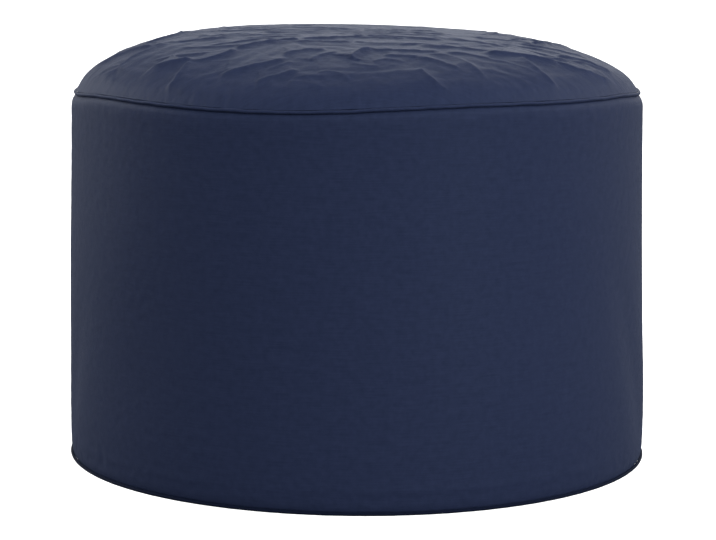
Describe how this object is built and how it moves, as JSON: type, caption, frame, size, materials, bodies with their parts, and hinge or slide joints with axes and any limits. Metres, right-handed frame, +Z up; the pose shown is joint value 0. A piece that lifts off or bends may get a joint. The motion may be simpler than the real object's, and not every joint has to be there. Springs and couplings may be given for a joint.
{
  "type": "bean bag",
  "caption": "Round drum-shaped bean bag in navy cloth: a crowned, creased top panel, an upright side band and a flat base, with a narrow self-cloth welt in each seam.",
  "frame": {"origin": "centre of the flat base, on the floor", "axes": "+Z up through the middle of the crown, -Y towards the front of the pictured view, +X to its right"},
  "size_m": [0.5056, 0.5056, 0.372],
  "materials": {
    "panel_cloth": "fine plain weave with a soft sheen, navy blue",
    "welt_cloth": "the same navy cloth wrapped round a thin cord"
  },
  "bodies": {
    "root": {"top_panel": "panel_cloth", "side_panel": "panel_cloth", "bottom_panel": "panel_cloth", "top_welt": "welt_cloth", "bottom_welt": "welt_cloth"}
  },
  "joints": []
}
